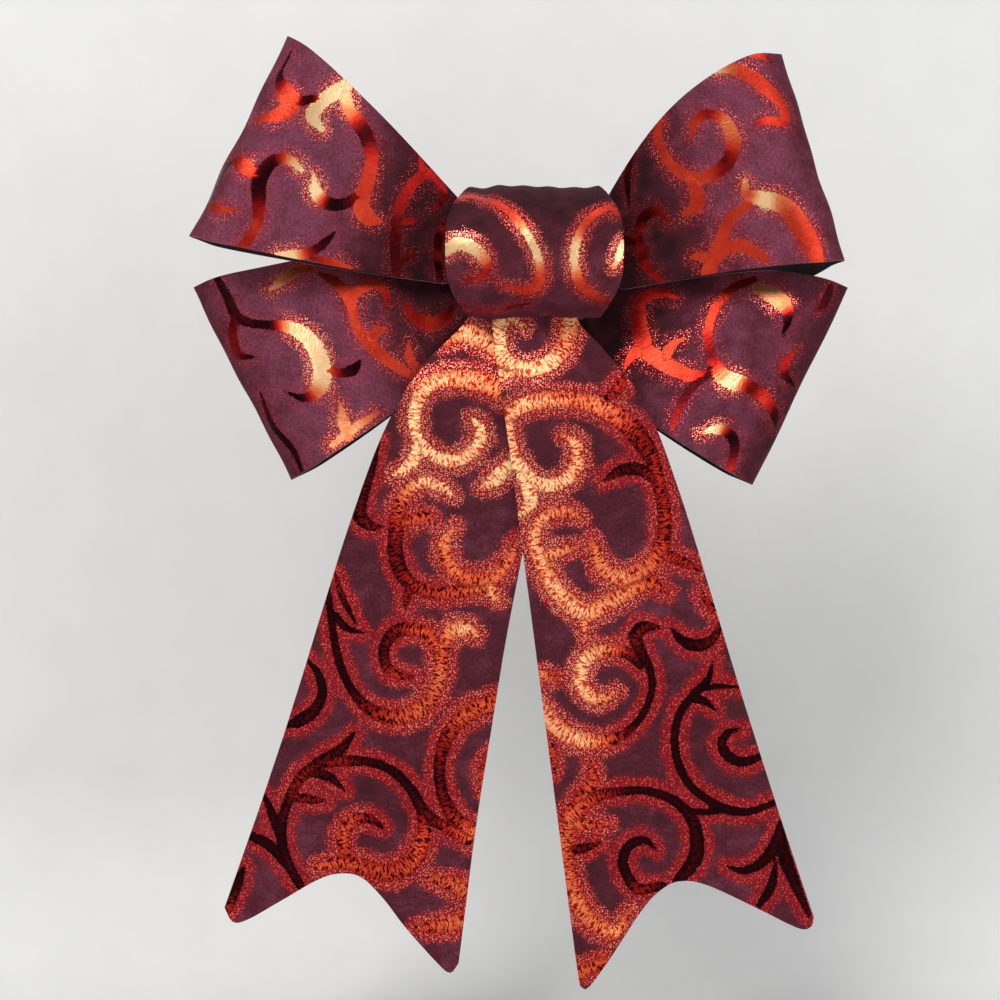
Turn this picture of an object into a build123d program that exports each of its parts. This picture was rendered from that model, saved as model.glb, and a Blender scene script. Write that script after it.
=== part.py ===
"""Pre-made gift bow: two pairs of ribbon loops, two swallow-tailed tails, a padded knot and a wire tie.

Millimetres. The bow hangs upright: +Z is up, +X is to the viewer's right, and the front faces -Y.
The origin is on the flat back of the knot, so a depth "towards the front" is a distance along -Y.
"""

import os
from math import cos, hypot, pi, sin

from build123d import *

os.makedirs("parts", exist_ok=True)

# ---- Ribbon -------------------------------------------------------------------------------
ribbon_thickness = 1.0
layer_gap = 0.4  # free space between two plies of ribbon

# ---- Wire tie: a flat strip with a round wired core, behind the gathered waists -----------------
tie_height = 10.0
tie_width = 4.0
tie_thickness = 0.5
tie_clearance = 0.25  # between its core and the band's back ply
tie_core_radius = 0.6
tie_wire_radius = 0.35
tie_wire_clearance = 0.05
tie_knuckle_radius = 1.1
tie_knuckle_gap = 0.4
tie_leg_length = 48.0

# ---- Binding wire, round both waists ----------------------------------------------------------
wire_radius = 0.45
wire_turns = 3
wire_pitch = 1.6
wire_clearance = 0.25
wire_corner = 1.2
twist_length = 9.0
twist_turns = 4

# ---- Waists: the gathered middle of each loop ribbon ------------------------------------------
waist_half_length = 22.0
waist_gap = 1.5  # extra room between the two ribbons
pleat_pitch = 5.5
pleat_height = 0.5
lower_waist_span = (-16.0, 6.0)  # lowest and highest
upper_waist_span = (-8.0, 14.0)

# ---- Tails --------------------------------------------------------------------------------------
tail_pivot = (0.0, -4.0)
tail_head_radius = 15.0
tail_head_gap = 0.8
tail_gap = 1.0  # free space between the two tails
tail_clearance = 1.5  # between the binding wire and the staple
tail_forward = 8.0  # how much further forward the tails ride over the lower loops
tail_settle = 14.0  # how far back the tips fall again
tail_crest_drop = 45.0  # below the pivot
tail_tip_drop = 256.0
tail_rise = (0.7, 0.9)  # Bezier handles above the crest, as shares of its height
tail_fall = (1.6, 0.6)  # and below it, as shares of the crest's and the tip's heights
# Each outline starts at its inner top and runs down the inner edge, round the notch and up the outer edge.
right_tail_inner = ((-15.5, -16.0), (15.5, -252.3))
right_tail_notch = ((16.5, -256.0), (33.0, -236.5), (51.0, -219.0), (72.0, -226.5))
right_tail_outer = ((98.2, -234.0), (56.4, -106.0), (38.7, -54.0), (14.0, -19.0))
left_tail_inner = ((12.0, -16.0), (-25.5, -243.0))
left_tail_notch = ((-29.0, -253.5), (-47.0, -232.0), (-66.5, -217.3), (-90.0, -226.0))
left_tail_outer = ((-107.5, -233.0), (-72.8, -122.7), (-46.4, -49.5), (-22.5, -21.0))

# ---- Staple through the tail heads, and glue behind the waists ----------------------------------
staple_radius = 0.35
staple_span = 9.0
staple_clearance = 0.1
glue_radius = 5.0
glue_offset = 9.0
glue_height = -6.0

# ---- Depths, stacked from the flat back towards the front --------------------------------------
tie_middle = ribbon_thickness + tie_clearance + tie_core_radius
wire_back = tie_middle + tie_core_radius + wire_clearance + wire_radius  # middle of its back run
ply_reach = ribbon_thickness / 2 + pleat_height + wire_clearance + wire_radius
ply_pitch = ribbon_thickness + 2 * pleat_height + layer_gap
lower_waist_depths = (wire_back + ply_reach, wire_back + ply_reach + ply_pitch)  # back and front plies
upper_waist_back = lower_waist_depths[1] + ply_pitch + waist_gap
upper_waist_depths = (upper_waist_back, upper_waist_back + ply_pitch)
wire_front = upper_waist_depths[1] + ply_reach
staple_back = wire_front + wire_radius + tail_clearance + staple_radius
left_tail_depth = staple_back + staple_radius + staple_clearance  # back face of its ply
right_tail_depth = left_tail_depth + ribbon_thickness + tail_gap
staple_front = right_tail_depth + ribbon_thickness + staple_radius
pad_back = staple_front + staple_radius + staple_clearance

# ---- Knot: a padded band that wraps the waist, seen from the side as a D ---------------------
knot_centre_depth = 12.0  # from the flat back to the middle of the top and bottom turns
knot_dome = 29.0  # from there to the front of the dome
knot_half_height = 23.5
knot_back_half_height = 16.0  # half of the flat back
knot_half_width = 30.5  # across the middle of the barrel
knot_end_half_width = 22.5  # across its top and bottom
mouth_clearance = 1.7  # round the tails, in the slit of the underside that lets them out
pad_clearance = 0.3
pad_half_width = 20.0
pad_corner = 5.0
tie_pivot_x = knot_half_width + tie_knuckle_gap + tie_knuckle_radius

# ---- Loops: each cut edge as (x, z), from beside the knot to the outer fold ----------------------
upper_left_top = ((-26.0, 19.0), (-84.8, 75.4))
upper_left_bottom = ((-31.5, -10.5), (-119.5, 4.2))
upper_right_top = ((26.0, 20.0), (83.7, 70.9))
upper_right_bottom = ((31.5, -12.5), (108.0, -4.2))
lower_left_top = ((-31.0, 6.0), (-120.2, -10.8))
lower_left_bottom = ((-25.5, -22.0), (-84.1, -79.9))
lower_right_top = ((31.0, 0.0), (110.9, -10.8))
lower_right_bottom = ((25.5, -22.5), (75.8, -81.7))

# A fold is (middle depth, half depth, length). A swell is how far the Bezier handles of the front and back
# panels stand off the waist, and a reach is where those handles are, as shares of the edge.
upper_top_fold = (20.5, 13.0, 18.0)
upper_top_swell = (1.0, 2.0)
upper_top_reach = (0.18, 0.30)
upper_bottom_fold = (21.5, 10.5, 14.0)
upper_bottom_swell = (1.5, 3.5)
upper_bottom_reach = (0.25, 0.62)
lower_top_fold = (8.4, 7.0, 9.0)
lower_top_swell = (0.6, 1.0)
lower_top_reach = (0.75, 0.30)
lower_bottom_fold = (13.5, 12.0, 18.0)
lower_bottom_swell = (1.0, 2.0)
lower_bottom_reach = (0.18, 0.30)
fold_ease = 0.125  # Bezier handle before a fold, as a share of the edge
CIRCLE_HANDLE = 0.5523  # Bezier handle of a quarter ellipse, as a share of its semi-axis


def export(part, label):
    part.part.label = label
    export_step(part.part, f"parts/{label}.step")


def quarter(centre, start, end):
    """Quarter ellipse from centre + start to centre + end, as one Bezier."""
    (cx, cy), (sx, sy), (ex, ey) = centre, start, end
    k = CIRCLE_HANDLE
    return Bezier(
        (cx + sx, cy + sy),
        (cx + sx + k * ex, cy + sy + k * ey),
        (cx + ex + k * sx, cy + ey + k * sy),
        (cx + ex, cy + ey),
    )


# ---------------------------------------------------------------------------------------------
# Knot band and pad, drawn on the YZ plane: local x is Y, so the front is at negative x
# ---------------------------------------------------------------------------------------------
def knot_outline(inset):
    """The D of the knot, inset by some ply thickness."""
    mid = (-knot_centre_depth, 0)
    high = knot_half_height - inset
    back = knot_back_half_height
    back_corner = high - back
    depth = knot_centre_depth - inset
    quarter(mid, (0, high), (-(knot_dome - inset), 0))
    quarter(mid, (-(knot_dome - inset), 0), (0, -high))
    quarter((-knot_centre_depth, -back), (0, -back_corner), (depth, 0))
    Line((-inset, -back), (-inset, back))
    quarter((-knot_centre_depth, back), (depth, 0), (0, back_corner))


def knot_silhouette():
    """Front outline of the barrel, on the XZ plane."""
    half, end, high = knot_half_width, knot_end_half_width, knot_half_height
    Line((-end, high), (end, high))
    ThreePointArc((end, high), (half, 0), (end, -high))
    Line((end, -high), (-end, -high))
    ThreePointArc((-end, -high), (-half, 0), (-end, high))


mouth_back = left_tail_depth - mouth_clearance
mouth_front = right_tail_depth + ribbon_thickness + mouth_clearance
with BuildPart() as knot_band:
    with BuildSketch(Plane.YZ.offset(-knot_half_width)):
        with BuildLine():
            knot_outline(0)
        make_face()
        with BuildLine():
            knot_outline(ribbon_thickness)
        make_face(mode=Mode.SUBTRACT)
    extrude(amount=2 * knot_half_width)
    with Locations((0, -mouth_back, -knot_half_height)):
        Box(
            2 * knot_half_width,
            mouth_front - mouth_back,
            knot_half_height,
            align=(Align.CENTER, Align.MAX, Align.CENTER),
            mode=Mode.SUBTRACT,
        )
    with BuildSketch(Plane.XZ):
        with BuildLine():
            knot_silhouette()
        make_face()
    extrude(amount=knot_centre_depth + knot_dome, mode=Mode.INTERSECT)
export(knot_band, "knot_band")

with BuildPart() as knot_pad:
    with BuildSketch(Plane.YZ.offset(-pad_half_width)):
        with BuildLine():
            knot_outline(ribbon_thickness + pad_clearance)
        make_face()
        with Locations((-pad_back, 0)):
            Rectangle(
                4 * knot_dome, 4 * knot_dome, align=(Align.MIN, Align.CENTER), mode=Mode.SUBTRACT
            )
    extrude(amount=2 * pad_half_width)
    ends = knot_pad.faces().filter_by(Axis.X)
    fillet(ends.edges().filter_by(GeomType.LINE, reverse=True), radius=pad_corner)
export(knot_pad, "knot_pad")


# ---------------------------------------------------------------------------------------------
# Gathered waists: two pleated plies each
# ---------------------------------------------------------------------------------------------
def pleated_ply(depth, span):
    """Outline of one pleated ply on the YZ plane, its middle at this depth."""
    low, high = span
    count = 2 * round((high - low) / pleat_pitch)
    heights = [low + (high - low) * i / count for i in range(count + 1)]
    waves = [pleat_height * cos(pi * i) for i in range(count + 1)]
    front = [(-(depth + ribbon_thickness / 2 + w), z) for w, z in zip(waves, heights)]
    back = [(-(depth - ribbon_thickness / 2 + w), z) for w, z in zip(waves, heights)]
    Spline(*front)
    Line(front[-1], back[-1])
    Spline(*reversed(back))
    Line(back[0], front[0])


def waist(depths, span):
    with BuildPart() as gathered:
        for depth in depths:
            with BuildSketch(Plane.YZ.offset(-waist_half_length)):
                with BuildLine():
                    pleated_ply(depth, span)
                make_face()
            extrude(amount=2 * waist_half_length)
    return gathered


export(waist(lower_waist_depths, lower_waist_span), "lower_ribbon_waist")
export(waist(upper_waist_depths, upper_waist_span), "upper_ribbon_waist")


# ---------------------------------------------------------------------------------------------
# Binding wire round both waists, and its twisted end
# ---------------------------------------------------------------------------------------------
wire_low = lower_waist_span[0] - wire_clearance - wire_radius
wire_high = upper_waist_span[1] + wire_clearance + wire_radius

with BuildPart() as binding_wire:
    for turn in range(wire_turns):
        x = (turn - (wire_turns - 1) / 2) * wire_pitch
        with BuildLine(Plane.YZ.offset(x)) as turn_path:
            corners = [
                (-wire_back, wire_low),
                (-wire_front, wire_low),
                (-wire_front, wire_high),
                (-wire_back, wire_high),
            ]
            FilletPolyline(*corners, radius=wire_corner, close=True)
        start = turn_path.wire().edges().sort_by(Axis.Z)[0]
        with BuildSketch(Plane(origin=start @ 0.5, z_dir=start % 0.5)):
            Circle(wire_radius)
        sweep(path=turn_path.wire())
export(binding_wire, "binding_wire")

twist_x = wire_turns * wire_pitch / 2 + wire_clearance
twist_y = -(wire_front - wire_radius)
twist_z = wire_high + 2 * wire_radius + wire_clearance
twist_orbit = wire_radius + wire_clearance / 4
twist_steps = 4 * twist_turns
with BuildPart() as binding_twist:
    for strand in range(2):
        with BuildLine() as strand_path:
            points = []
            for step in range(twist_steps + 1):
                angle = pi * step / 2 + pi * strand
                along = twist_length * step / twist_steps
                sideways = (twist_orbit * cos(angle), twist_orbit * sin(angle))
                points.append((twist_x + along, twist_y + sideways[0], twist_z + sideways[1]))
            Spline(*points)
        with BuildSketch(Plane(origin=strand_path.line @ 0, z_dir=strand_path.line % 0)):
            Circle(wire_radius)
        sweep()
export(binding_twist, "binding_twist")


# ---------------------------------------------------------------------------------------------
# Loops: a hairpin of ribbon lofted between its two cut edges
# ---------------------------------------------------------------------------------------------
def edge_plane(start, end):
    """Upright plane of one cut edge: local x runs outwards along the edge, local y to the front."""
    along = Vector(end[0] - start[0], 0, end[1] - start[1]).normalized()
    normal = along.cross(Vector(0, -1, 0))
    return Plane(origin=(start[0], 0, start[1]), x_dir=along, z_dir=normal)


def hairpin(length, waist_depths, fold, swell, reach, inset):
    """One face of the ribbon along its cut edge: front panel, fold, then back panel."""
    front = waist_depths[1] + ribbon_thickness / 2 - inset
    back = waist_depths[0] - ribbon_thickness / 2 + inset
    middle, half, fold_length = fold
    half -= inset
    fold_start = length - fold_length
    fold_length -= inset
    eased = fold_start - fold_ease * length
    lead = (reach[0] * length, front + swell[0])
    hold = (reach[1] * length, back + swell[1])
    Bezier((0, front), lead, (eased, middle + half), (fold_start, middle + half))
    quarter((fold_start, middle), (0, half), (fold_length, 0))
    quarter((fold_start, middle), (fold_length, 0), (0, -half))
    Bezier((fold_start, middle - half), (eased, middle - half), hold, (0, back))
    return (0, front), (0, back)


def loop(waist_depths, *cut_edges):
    """Ruled loft between two cut edges, each given as its line, fold, swell and reach."""
    with BuildPart() as folded:
        for (start, end), fold, swell, reach in cut_edges:
            length = hypot(end[0] - start[0], end[1] - start[1])
            with BuildSketch(edge_plane(start, end)):
                with BuildLine():
                    outer = hairpin(length, waist_depths, fold, swell, reach, 0)
                    inner = hairpin(length, waist_depths, fold, swell, reach, ribbon_thickness)
                    Line(outer[0], inner[0])
                    Line(outer[1], inner[1])
                make_face()
        loft(ruled=True)
    return folded


upper_top = (upper_top_fold, upper_top_swell, upper_top_reach)
upper_bottom = (upper_bottom_fold, upper_bottom_swell, upper_bottom_reach)
lower_top = (lower_top_fold, lower_top_swell, lower_top_reach)
lower_bottom = (lower_bottom_fold, lower_bottom_swell, lower_bottom_reach)


def upper_loop(top, bottom):
    return loop(upper_waist_depths, (top, *upper_top), (bottom, *upper_bottom))


def lower_loop(top, bottom):
    return loop(lower_waist_depths, (top, *lower_top), (bottom, *lower_bottom))


export(upper_loop(upper_left_top, upper_left_bottom), "upper_left_loop")
export(upper_loop(upper_right_top, upper_right_bottom), "upper_right_loop")
export(lower_loop(lower_left_top, lower_left_bottom), "lower_left_loop")
export(lower_loop(lower_right_top, lower_right_bottom), "lower_right_loop")


# ---------------------------------------------------------------------------------------------
# Tails: a bent sheet, cut to its outline
# ---------------------------------------------------------------------------------------------
pivot_x, pivot_z = tail_pivot


def bent_sheet(depth):
    """Side section of a tail: over the lower loops, then back towards the wall."""
    top_z = pivot_z - tail_head_radius
    crest_z = pivot_z - tail_crest_drop
    tip_z = pivot_z - tail_tip_drop
    faces = (depth, depth + ribbon_thickness)
    for face in faces:
        crest = -(face + tail_forward)
        tip = crest + tail_settle
        rise = ((-face, tail_rise[0] * crest_z), (crest, tail_rise[1] * crest_z))
        fall = ((crest, tail_fall[0] * crest_z), (tip, tail_fall[1] * tip_z))
        Bezier((-face, top_z), *rise, (crest, crest_z))
        Bezier((crest, crest_z), *fall, (tip, tip_z))
    Line((-faces[0], top_z), (-faces[1], top_z))
    tips = [tail_settle - tail_forward - face for face in faces]
    Line((tips[0], tip_z), (tips[1], tip_z))


def tail(depth, inner, notch, outer):
    with BuildPart() as hanging:
        widest = 2 * max(abs(x) for x, _ in outer)
        with BuildSketch(Plane.YZ.offset(-widest)):
            with BuildLine():
                bent_sheet(depth)
            make_face()
        extrude(amount=2 * widest)
        with BuildSketch(Plane.XZ):
            with BuildLine():
                Line(*inner)
                Spline(inner[-1], *notch, outer[0])
                Spline(*outer)
                Line(outer[-1], inner[0])
            make_face()
            with Locations(tail_pivot):
                Circle(tail_head_radius + tail_head_gap, mode=Mode.SUBTRACT)
        extrude(amount=2 * (knot_centre_depth + knot_dome), mode=Mode.INTERSECT)
    return hanging


export(tail(left_tail_depth, left_tail_inner, left_tail_notch, left_tail_outer), "left_tail")
export(tail(right_tail_depth, right_tail_inner, right_tail_notch, right_tail_outer), "right_tail")


def tail_head(depth):
    """The part of a tail inside the knot: a round-bottomed tab with two staple holes."""
    with BuildPart() as head:
        with BuildSketch(Plane.XZ.offset(depth)):
            with Locations(tail_pivot):
                Circle(tail_head_radius)
                with GridLocations(staple_span, 1, 2, 1):
                    Circle(staple_radius + staple_clearance, mode=Mode.SUBTRACT)
        extrude(amount=ribbon_thickness)
    return head


export(tail_head(left_tail_depth), "left_tail_head")
export(tail_head(right_tail_depth), "right_tail_head")

# ---------------------------------------------------------------------------------------------
# Staple through the two tail heads
# ---------------------------------------------------------------------------------------------
with BuildPart() as tail_staple:
    with BuildLine() as staple_path:
        half = staple_span / 2
        FilletPolyline(
            (pivot_x - half, -staple_back, pivot_z),
            (pivot_x - half, -staple_front, pivot_z),
            (pivot_x + half, -staple_front, pivot_z),
            (pivot_x + half, -staple_back, pivot_z),
            radius=staple_radius,
        )
    with BuildSketch(Plane(origin=staple_path.line @ 0, z_dir=staple_path.line % 0)):
        Circle(staple_radius)
    sweep()
export(tail_staple, "tail_staple")

# ---------------------------------------------------------------------------------------------
# Hot glue between the lower waist and the band's back ply
# ---------------------------------------------------------------------------------------------
waist_back = lower_waist_depths[0] - ribbon_thickness / 2 - pleat_height
with BuildPart() as back_glue:
    with BuildSketch(Plane.XZ.offset(ribbon_thickness)):
        with Locations((-glue_offset, glue_height), (glue_offset, glue_height)):
            Circle(glue_radius)
    extrude(amount=waist_back - ribbon_thickness)
export(back_glue, "back_glue")


# ---------------------------------------------------------------------------------------------
# Wire tie: a saddle inside the band and two legs that bend beside it
# ---------------------------------------------------------------------------------------------
def tie_section():
    """Flat strip with a round core and a hole for its wire."""
    Rectangle(tie_thickness, tie_width)
    Circle(tie_core_radius)
    Circle(tie_wire_radius + tie_wire_clearance, mode=Mode.SUBTRACT)


saddle_half = tie_pivot_x - tie_knuckle_radius - tie_knuckle_gap
saddle_start = (-saddle_half, -tie_middle, tie_height)
saddle_plane = Plane(origin=saddle_start, x_dir=(0, 1, 0), z_dir=(1, 0, 0))
with BuildPart() as tie_saddle:
    with BuildSketch(saddle_plane):
        tie_section()
    extrude(amount=2 * saddle_half)
export(tie_saddle, "tie_saddle")

with BuildPart() as tie_saddle_wire:
    with BuildSketch(saddle_plane):
        Circle(tie_wire_radius)
    extrude(amount=2 * saddle_half)
export(tie_saddle_wire, "tie_saddle_wire")

for side, name in ((-1, "left"), (1, "right")):
    leg_root = (side * tie_pivot_x, -tie_middle, tie_height)
    leg_plane = Plane(origin=leg_root, x_dir=(1, 0, 0), z_dir=(0, 1, 0))
    with BuildPart() as tie_leg:
        with BuildSketch(leg_plane):
            tie_section()
        extrude(amount=tie_leg_length)
        with Locations(leg_root):
            Cylinder(tie_knuckle_radius, tie_width)
            with Locations(Rotation(-90, 0, 0)):
                Cylinder(
                    tie_wire_radius + tie_wire_clearance,
                    2 * tie_knuckle_radius,
                    align=(Align.CENTER, Align.CENTER, Align.MIN),
                    mode=Mode.SUBTRACT,
                )
    export(tie_leg, f"tie_{name}_leg")
    with BuildPart() as tie_wire:
        with BuildSketch(leg_plane.offset(tie_wire_clearance)):
            Circle(tie_wire_radius)
        extrude(amount=tie_leg_length)
    export(tie_wire, f"tie_{name}_wire")
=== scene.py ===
"""Looks of a ready-made gift bow: printed velvet loops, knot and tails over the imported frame.

Design values are in millimetres, in the frame of the part; meshes are made in metres.
"""

import math

import bpy
import numpy as np
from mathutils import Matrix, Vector


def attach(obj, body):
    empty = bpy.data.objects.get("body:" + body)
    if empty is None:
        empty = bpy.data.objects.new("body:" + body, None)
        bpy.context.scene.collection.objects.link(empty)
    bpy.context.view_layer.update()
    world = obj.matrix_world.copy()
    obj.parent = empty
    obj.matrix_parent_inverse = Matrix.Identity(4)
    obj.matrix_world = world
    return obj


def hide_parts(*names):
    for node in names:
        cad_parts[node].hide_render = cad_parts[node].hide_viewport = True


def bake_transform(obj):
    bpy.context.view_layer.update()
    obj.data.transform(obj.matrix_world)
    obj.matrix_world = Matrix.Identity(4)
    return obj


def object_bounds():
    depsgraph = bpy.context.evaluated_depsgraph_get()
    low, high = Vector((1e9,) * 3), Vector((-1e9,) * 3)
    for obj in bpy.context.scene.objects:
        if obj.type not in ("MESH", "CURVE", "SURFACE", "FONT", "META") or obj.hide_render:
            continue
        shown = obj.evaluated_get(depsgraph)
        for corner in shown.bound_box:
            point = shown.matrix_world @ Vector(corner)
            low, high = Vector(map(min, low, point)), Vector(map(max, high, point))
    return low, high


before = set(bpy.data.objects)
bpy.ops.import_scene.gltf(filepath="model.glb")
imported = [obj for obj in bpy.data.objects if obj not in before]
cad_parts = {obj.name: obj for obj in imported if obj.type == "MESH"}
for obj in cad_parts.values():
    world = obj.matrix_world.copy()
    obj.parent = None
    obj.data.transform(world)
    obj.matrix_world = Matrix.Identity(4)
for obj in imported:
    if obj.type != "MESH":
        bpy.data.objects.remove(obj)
cad_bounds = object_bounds()
MM = 0.001

# ---- Driving values, the same as the part's ----
THICKNESS = 0.7  # of the visible ribbon
UPPER_WAIST = (10.65, 14.05)  # outer faces of the back and front plies
LOWER_WAIST = (4.35, 7.75)
UPPER_SPAN = (-8.0, 14.0)
LOWER_SPAN = (-16.0, 6.0)
WAIST_HALF = 22.0
UPPER_TOP = dict(fold=(20.5, 13.0, 18.0), swell=(1.0, 2.0), reach=(0.18, 0.30))
UPPER_BOTTOM = dict(fold=(21.5, 10.5, 14.0), swell=(1.5, 3.5), reach=(0.25, 0.62))
LOWER_TOP = dict(fold=(8.4, 7.0, 9.0), swell=(0.6, 1.0), reach=(0.75, 0.30))
LOWER_BOTTOM = dict(fold=(13.5, 12.0, 18.0), swell=(1.0, 2.0), reach=(0.18, 0.30))
FOLD_EASE = 0.125
TAIL_PIVOT_Z = -4.0
TAIL_DEPTH = {"left": 18.0, "right": 20.0}
TAIL_FORWARD = 8.0
TAIL_SETTLE = 14.0
CREST_Z = TAIL_PIVOT_Z - 45.0
TIP_Z = TAIL_PIVOT_Z - 256.0
MOUTH = (16.3, 22.7)
KNOT_HALF_WIDTH = 30.5
KNOT_CENTRE = 12.0
KNOT_DOME = 29.0
KNOT_HIGH = 23.5
KNOT_BACK_HIGH = 16.0

# ---- Curves ----


def bezier(points, count):
    """Points along a cubic Bezier curve."""
    p = np.array(points, float)
    t = np.linspace(0, 1, count)[:, None]
    return (1 - t) ** 3 * p[0] + 3 * t * (1 - t) ** 2 * p[1] + 3 * t * t * (1 - t) * p[2] + t**3 * p[3]


def quarter(centre, start, end, count):
    """Quarter ellipse from centre + start to centre + end."""
    angle = np.linspace(0, math.pi / 2, count)[:, None]
    return np.array(centre) + np.cos(angle) * np.array(start) + np.sin(angle) * np.array(end)


def spaced(points, count):
    """The same line with evenly spaced points."""
    p = np.array(points, float)
    step = np.r_[0, np.cumsum(np.linalg.norm(np.diff(p, axis=0), axis=1))]
    at = np.linspace(0, step[-1], count)
    return np.stack([np.interp(at, step, p[:, k]) for k in range(p.shape[1])], 1)


def smooth_line(points, per_span=14):
    """Catmull-Rom line through given points of any width."""
    p = np.array(points, float)
    p = np.vstack([2 * p[0] - p[1], p, 2 * p[-1] - p[-2]])
    out = []
    t = np.linspace(0, 1, per_span, endpoint=False)[:, None]
    for a, b, c, d in zip(p[:-3], p[1:-2], p[2:-1], p[3:]):
        square, cube = 2 * a - 5 * b + 4 * c - d, 3 * b - a - 3 * c + d
        out.append(0.5 * (2 * b + (c - a) * t + square * t**2 + cube * t**3))
    return np.vstack(out + [p[-2:-1]])


def ripple(x, y, seed, wavelength):
    """Smooth seeded unevenness between about -1 and 1."""
    rng = np.random.default_rng(seed)
    total = np.zeros_like(x)
    for k in range(6):
        angle = rng.uniform(0, 2 * math.pi)
        size = wavelength * rng.uniform(0.6, 1.6)
        along = x * math.cos(angle) + y * math.sin(angle)
        total += np.sin(along * 2 * math.pi / size + rng.uniform(0, 6.3))
    return total / 3.0


# ---- Scrollwork ----
# Strokes as (points, half widths, tones), as seen from the front: points in mm, half widths in tenths of
# a mm, tones in hundredths, one for all the points or one each. A tone is painted reflection on the foil:
# it runs from 0, foil painted almost black-red like reflected shade, to 100, foil painted as a pale gold
# highlight.
SCROLLS = {}
SCROLLS["upper_left"] = [
    ([(-83.5, 68), (-87.5, 60), (-86, 54), (-83, 49.5), (-88, 46), (-96.5, 44.5)], (4, 12, 30, 32, 24, 5),
     (5, 10, 50, 55, 50, 50)),
    ([(-82, 50), (-77, 51), (-72.5, 51)], (20, 16, 15), (30, 8, 60)),
    ([(-73, 41), (-76, 45.5), (-72, 51), (-66, 55), (-62, 58)], (10, 22, 24, 26, 8),
     (100, 100, 100, 100, 90)),
    ([(-65.5, 56), (-63.5, 48), (-58.5, 40.5), (-56, 32), (-58, 23), (-60, 16.5), (-57.5, 11.5), (-53, 10.5)],
     (20, 22, 26, 24, 26, 30, 26, 7), (100, 80, 8, 40, 50, 55, 50, 50)),
    ([(-60, 19), (-66, 16), (-71, 16), (-75, 19.5), (-76, 26)], (20, 20, 22, 22, 4), (30, 4, 10, 100, 100)),
    ([(-80, 27), (-84, 30.5), (-89.5, 30), (-94, 24), (-94.5, 16), (-95, 9), (-98.5, 3), (-101.5, -1)],
     (9, 17, 22, 26, 24, 20, 18, 14), (100, 80, 10, 8, 20, 45, 40, 50)),
    ([(-104, 31), (-99.5, 28.5), (-94.5, 24)], (8, 28, 10), (30, 50, 40)),
    ([(-104, 31), (-109, 25), (-111.5, 18), (-109.5, 14), (-103, 13.5)], (6, 16, 14, 18, 4),
     (3, 4, 5, 50, 50)),
    ([(-89, -4), (-83, -1.8), (-77, -0.5), (-72, 3), (-69, 6.5)], (12, 18, 16, 14, 4), (100, 100, 30, 3, 3)),
    ([(-77, -2.5), (-70, -4), (-64, -7.8)], (7, 14, 9), (30, 50, 50)),
    ([(-48, -9), (-48, 5), (-46, 17), (-41, 25), (-37, 27.5), (-33, 24.5), (-31.5, 19.5), (-35, 15)],
     (14, 20, 22, 20, 18, 16, 14, 6), (20, 15, 28, 30, 30, 30, 30, 30)),
    ([(-38.5, 35), (-38.5, 28)], (4, 16), (25, 28)),
    ([(-47, 10.5), (-42, 11)], (12, 12), (25, 35)),
    ([(-31.5, 10), (-33.5, 3), (-33, -9)], (10, 16, 12), (30, 22, 12)),
    ([(-46, -3), (-42, -0.5)], (14, 8), 20),
]
SCROLLS["upper_right"] = [
    ([(54, 39), (55.5, 44), (60, 46.5), (65.5, 43.5), (68.3, 37), (67, 31), (63, 26.7), (57, 25),
      (51.5, 26.5), (46.5, 31), (43.3, 38), (43, 43), (44.5, 46)],
     (5, 15, 17, 20, 24, 22, 22, 20, 20, 18, 16, 12, 4),
     (50, 50, 36, 72, 60, 22, 42, 52, 52, 52, 50, 50, 50)),
    ([(53, 26), (56, 21), (56, 15.5), (51.5, 12.5)], (18, 25, 23, 6), 50),
    ([(62, 61), (68, 61.5), (75, 58.5), (81, 54), (85.5, 48.5), (86, 44), (80, 43.8), (75.5, 42.5)],
     (6, 20, 28, 28, 18, 16, 16, 4), (100, 70, 50, 50, 45, 40, 45, 40)),
    ([(74, 66.5), (78, 66.5), (82, 64.5)], (6, 15, 5), (50, 45, 10)),
    ([(72, 24), (73.5, 18.5), (79, 17), (86, 14.5), (91, 8), (95, 1), (97, -3)], (6, 19, 28, 32, 36, 36, 26),
     (90, 60, 100, 60, 50, 50, 50)),
    ([(74, 16), (68, 11), (64.5, 4), (62, -2), (60.5, -8)], (14, 18, 20, 24, 26), 50),
    ([(54.5, -2), (58.5, -1.8), (62, -4)], (5, 18, 20), 50),
    ([(62, -4), (66, 0.5), (71, 1.5), (76, -1), (80.5, -3.8)], (16, 22, 23, 20, 8), 50),
    ([(47, 10), (43, 14), (38.5, 12.5), (36.5, 7), (37.3, 1), (39.5, -5), (45, -10.5)],
     (6, 16, 20, 19, 19, 17, 10), (25, 28, 20, 20, 25, 30, 25)),
    ([(30.5, 5), (36, 3.5)], (14, 18), (20, 22)),
    ([(34.5, 34.5), (32.5, 26), (33.2, 16)], (4, 14, 4), (12, 10, 8)),
]
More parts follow.
